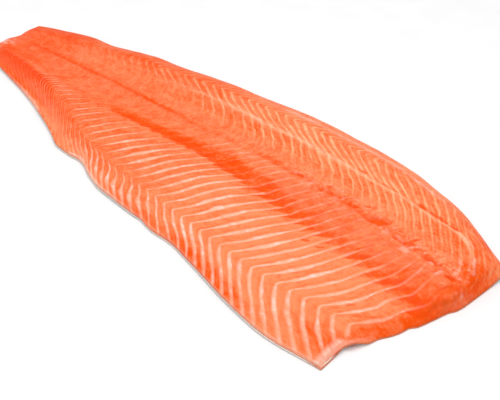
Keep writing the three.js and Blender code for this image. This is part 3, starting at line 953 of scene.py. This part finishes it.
class Paint:
    """A Principled material, with short calls for the nodes that drive it. A colour is a socket or
    six hexadecimal digits of sRGB."""

    def __init__(self, name, **settings):
        self.material = bpy.data.materials.new(name)
        self.material.use_nodes = True
        self.tree = self.material.node_tree
        self.surface = self.tree.nodes["Principled BSDF"]
        for socket, value in settings.items():
            self.surface.inputs[socket.replace("_", " ")].default_value = value

    def put(self, socket, value):
        if isinstance(value, bpy.types.NodeSocket):
            self.tree.links.new(value, socket)
        else:
            socket.default_value = linear(value) if isinstance(value, str) else value

    def node(self, kind, inputs, **settings):
        """The outputs of a new node."""
        made = self.tree.nodes.new("ShaderNode" + kind)
        for setting, value in settings.items():
            setattr(made, setting, value)
        for socket, value in inputs.items():
            self.put(made.inputs[socket], value)
        return made.outputs

    def field(self, name):
        return self.node("Attribute", {}, attribute_name=name)["Fac"]

    def math(self, operation, first, second=0.0, clamp=False):
        return self.node("Math", {0: first, 1: second}, operation=operation, use_clamp=clamp)[0]

    def plus(self, first, second):
        return self.math("ADD", first, second)

    def times(self, first, second, clamp=False):
        return self.math("MULTIPLY", first, second, clamp)

    def ramp(self, value, low, high, to_low=0.0, to_high=1.0):
        """Goes smoothly from to_low to to_high as the value goes from low to high."""
        inputs = {0: value, 1: low, 2: high, 3: to_low, 4: to_high}
        return self.node("MapRange", inputs, interpolation_type="SMOOTHSTEP")[0]

    def mix(self, share, first, second):
        inputs = {0: share, 6: first, 7: second}
        return self.node("Mix", inputs, data_type="RGBA")[2]

    def noise(self, size, stretch=(1, 1, 1), detail=2.0):
        """Noise from 0 to 1, with lumps of that size in millimetres, drawn out along some axes."""
        place = self.node("TexCoord", {})["Object"]
        squeeze = tuple(1 / amount for amount in stretch)
        place = self.node("VectorMath", {0: place, 1: squeeze}, operation="MULTIPLY")[0]
        inputs = {"Vector": place, "Scale": 1 / (size * MM), "Detail": detail}
        return self.node("TexNoise", inputs)[0]

    def varied(self, low, high, size, stretch=(1, 1, 1), detail=2.0):
        """The same noise, drawn out from low to high."""
        return self.ramp(self.noise(size, stretch, detail), NOISE_LOW, NOISE_HIGH, low, high)

    def finish(self, colour, roughness, bump, bump_height):
        normal = self.node("Bump", {"Height": bump, "Distance": bump_height * MM})[0]
        for socket, value in (("Base Color", colour), ("Roughness", roughness), ("Normal", normal)):
            self.put(self.surface.inputs[socket], value)
        return self.material


def line_pulse(paint, number, half_width):
    """1 on a white line, falling off slowly toward the tail and quickly toward the head."""
    from_line = paint.math("SUBTRACT", number, paint.math("ROUND", number))
    at = paint.math("DIVIDE", from_line, half_width)
    return paint.times(paint.ramp(at, -1.9, -0.35), paint.ramp(at, 0.15, 1.15, 1.0, 0.0))


def plain_flesh(paint, number):
    """Colour between the lines: mottled flesh, with fibres, and streaks that follow the lines."""
    grain = paint.field("grain")
    mottle = paint.varied(-0.16, 0.16, 8, (1.6, 1, 1), 3.0)
    fibre = paint.times(paint.varied(-0.3, 0.3, 1.8, (2.2, 1, 1), 4.0), grain)
    place = paint.node("TexCoord", {})["Object"]
    apart = paint.node("SeparateXYZ", {0: place})
    across = paint.math("DIVIDE", apart[1], STREAK_LENGTH * MM)
    down = paint.math("DIVIDE", apart[2], STREAK_DEPTH * MM)
    along = paint.times(number, STREAKS_PER_BLOCK)
    place = paint.node("CombineXYZ", {0: along, 1: across, 2: down})[0]
    streak = paint.node("TexNoise", {"Vector": place, "Scale": 1.0, "Detail": 3.0})[0]
    streak = paint.times(paint.ramp(streak, NOISE_LOW, NOISE_HIGH, -0.3, 0.3), grain)
    block = {"W": paint.math("FLOOR", number)}
    block = paint.node("TexWhiteNoise", block, noise_dimensions="1D")[0]
    paleness = paint.field("paleness")
    for change in (mottle, fibre, paint.ramp(block, 0, 1, -0.06, 0.06), streak):
        paleness = paint.plus(paleness, change)
    colour = paint.mix(paint.ramp(paleness, -0.45, 0.0), DEEPEST_ORANGE, DEEP_ORANGE)
    paleness = paint.math("MAXIMUM", paleness, 0.0, clamp=True)
    return paint.mix(paleness, colour, LIGHT_SALMON)


def flesh_material():
    paint = Paint("raw salmon", Specular_IOR_Level=0.045)
    number = paint.field("line_number")
    half_width = paint.field("line_half")
    show = paint.field("line_show")
    shade = line_pulse(paint, paint.plus(number, 0.26), paint.times(half_width, 1.2))
    shade = paint.times(shade, paint.times(show, 0.3), clamp=True)
    colour = paint.mix(shade, plain_flesh(paint, number), LINE_SHADE)
    pinker = paint.times(paint.field("pink"), paint.varied(0.05, 0.3, 6))
    colour = paint.mix(pinker, colour, PINK)
    lines = paint.times(line_pulse(paint, number, half_width), show)
    lines = paint.times(lines, paint.varied(0.82, 1.08, 2.2, (2, 1, 1)), clamp=True)
    fine = line_pulse(paint, paint.plus(number, 0.5), paint.times(half_width, 0.7))
    fine = paint.times(fine, paint.field("fine_show"), clamp=True)
    bright = paint.ramp(paint.noise(6, (1.5, 1, 1)), 0.5, 0.68, 0.0, 0.9)
    line_colour = paint.mix(bright, WHITE_LINE, BRIGHT_LINE)
    line_colour = paint.mix(paint.field("peach"), line_colour, PEACH_LINE)
    colour = paint.mix(paint.math("MAXIMUM", lines, fine), colour, line_colour)
    # Painted shade: thin dark creases over the torn area, and along the tears' far edges
    wrinkle_shade = paint.math("ABSOLUTE", paint.plus(paint.noise(7, (2.5, 1, 1), 3.0), -0.5))
    wrinkle_shade = paint.times(paint.ramp(wrinkle_shade, 0.0, 0.025, 0.75, 0.0), paint.field("rough"))
    crease_shade = paint.math("MAXIMUM", wrinkle_shade, paint.times(paint.field("crease_shade"), 0.7))
    # Painted shade in the head cut's face, and the slightly darker back at the tail
    dark = paint.times(paint.field("dark"), paint.ramp(paint.noise(5), 0.35, 0.65))
    # Pale fat and membrane, with flecks near the head cut that are painted wet sheen as well
    fat = paint.times(paint.field("fat"), paint.varied(0.6, 1.0, 3, (2, 1, 1)))
    for share, mark in (
        (paint.field("ridge"), SEAM_RIDGE), (paint.times(paint.field("torn"), 0.95), TORN),
        (crease_shade, CREASE_SHADE), (dark, SHADE_BROWN), (fat, FAT_AND_SHEEN),
    ):
        colour = paint.mix(share, colour, mark)
    relief = paint.plus(paint.times(lines, -0.4), paint.noise(1.1, (4, 1, 1), 3.0))
    return paint.finish(colour, paint.varied(0.36, 0.5, 5), relief, 0.25)


def skin_material():
    paint = Paint("silver skin", Specular_IOR_Level=0.5, Metallic=0.25)
    side = paint.plus(paint.field("side"), paint.varied(-0.07, 0.07, 18, (2, 1, 1)))
    colour = paint.mix(paint.ramp(side, 0.1, 0.45), SKIN_BELLY, SKIN_SIDE)
    colour = paint.mix(paint.ramp(side, 0.5, 0.85), colour, SKIN_BACK)
    spots = paint.ramp(paint.noise(7, detail=0.0), 0.72, 0.76)
    spots = paint.times(spots, paint.ramp(side, 0.5, 0.7))
    colour = paint.mix(spots, colour, SKIN_SPOT)
    edge = paint.field("edge")
    colour = paint.mix(paint.math("MINIMUM", edge, 1.0), colour, SKIN_CUT)
    colour = paint.mix(paint.ramp(edge, 1.0, 1.6), colour, SKIN_HEAD_CUT)
    return paint.finish(colour, paint.varied(0.28, 0.42, 4), paint.noise(1.0, detail=3.0), 0.15)


def floor_material():
    paint = Paint("white table", Specular_IOR_Level=0.3)
    grain = paint.noise(40, detail=1.0)
    paler = paint.ramp(grain, NOISE_LOW, NOISE_HIGH, 0.0, 0.3)
    colour = paint.mix(paler, FLOOR, FLOOR_PALER)
    return paint.finish(colour, paint.ramp(grain, NOISE_LOW, NOISE_HIGH, 0.55, 0.65), grain, 0.02)


# Pieces

def make_flesh():
    rows = spread_rows(FLESH_STEPS)
    x, y = plan_grid(rows, FLESH_COLUMNS, HEAD_SLANT)
    fields, relief = flesh_fields(rows, x, y)
    top = np.stack((x, y, flesh_top(rows, x, y) + relief), -1)
    foot_x, foot_y = plan_grid(rows, FLESH_COLUMNS, 0)
    foot = np.stack((foot_x, foot_y, skin_underside(foot_x, foot_y) + SKIN_THICKNESS), -1)

    def bulge(place):
        around, height = place[:, 0] + place[:, 1], place[:, 2]
        ragged = 0.3 * noise(around, height, 2.6, seed=19) + 0.4 * noise(around, height, 8, seed=20)
        return 0.3 + ragged

    piece = closed_shell("salmon_flesh", top, foot, FLESH_RINGS, bulge, True)
    add_fields(piece, fields, FLESH_RINGS)
    piece.data.materials.append(flesh_material())
    return piece


def make_skin():
    rows = spread_rows(SKIN_STEPS)
    x, y = plan_grid(rows, SKIN_COLUMNS, 0)
    side = np.broadcast_to(rows[:, None] / BACK, x.shape).copy()
    under = skin_underside(x, y)
    x[:, 0] -= END_BORDER
    x[:, -1] += END_BORDER
    y[0] -= SKIN_BORDER
    y[-1] += SKIN_BORDER
    lower = np.stack((x, y, under), -1)
    upper = lower + np.array([0, 0, SKIN_THICKNESS])
    edge = np.zeros_like(x)
    edge[0] = edge[:, 0] = 1
    edge[-1] = 0.3
    edge[:, -1] = 2

    def bulge(place):
        return np.full(len(place), 0.25)

    piece = closed_shell("salmon_skin", lower, upper, SKIN_RINGS, bulge, False)
    add_fields(piece, {"side": side, "edge": edge}, SKIN_RINGS)
    piece.data.materials.append(skin_material())
    return piece


# Floor, light and camera

def make_floor():
    bpy.ops.mesh.primitive_plane_add(size=FLOOR_SIZE, location=(0, 0, -FLOOR_GAP))
    floor = bpy.context.object
    floor.name = "floor"
    floor.data.materials.append(floor_material())


def aim(data, location, target):
    """Puts a lamp or a camera into the scene, looking at a target."""
    holder = bpy.data.objects.new(data.name, data)
    bpy.context.collection.objects.link(holder)
    holder.location = location
    way = Vector(target) - holder.location
    holder.rotation_euler = way.to_track_quat("-Z", "Y").to_euler()
    return holder


def make_light():
    lamp = bpy.data.lights.new("large soft light", "AREA")
    lamp.shape = "DISK"
    lamp.size = LAMP_SIZE
    lamp.energy = LAMP_POWER
    aim(lamp, LAMP_PLACE, (0, 0, 0))


def make_world():
    world = bpy.data.worlds.new("white room")
    world.use_nodes = True
    background = world.node_tree.nodes["Background"]
    background.inputs["Color"].default_value = (1, 1, 1, 1)
    background.inputs["Strength"].default_value = WORLD_STRENGTH
    bpy.context.scene.world = world


def make_camera():
    camera = bpy.data.cameras.new("camera")
    camera.lens = CAMERA_LENS
    camera.sensor_width = CAMERA_SENSOR
    bpy.context.scene.camera = aim(camera, CAMERA_PLACE, CAMERA_TARGET)


SHIFT = frame_shift()

flesh = make_flesh()
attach(flesh, "root")
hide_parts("flesh")

skin = make_skin()
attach(skin, "root")
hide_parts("skin")

make_floor()
make_world()
make_light()
make_camera()
bpy.context.scene.view_settings.view_transform = "Standard"
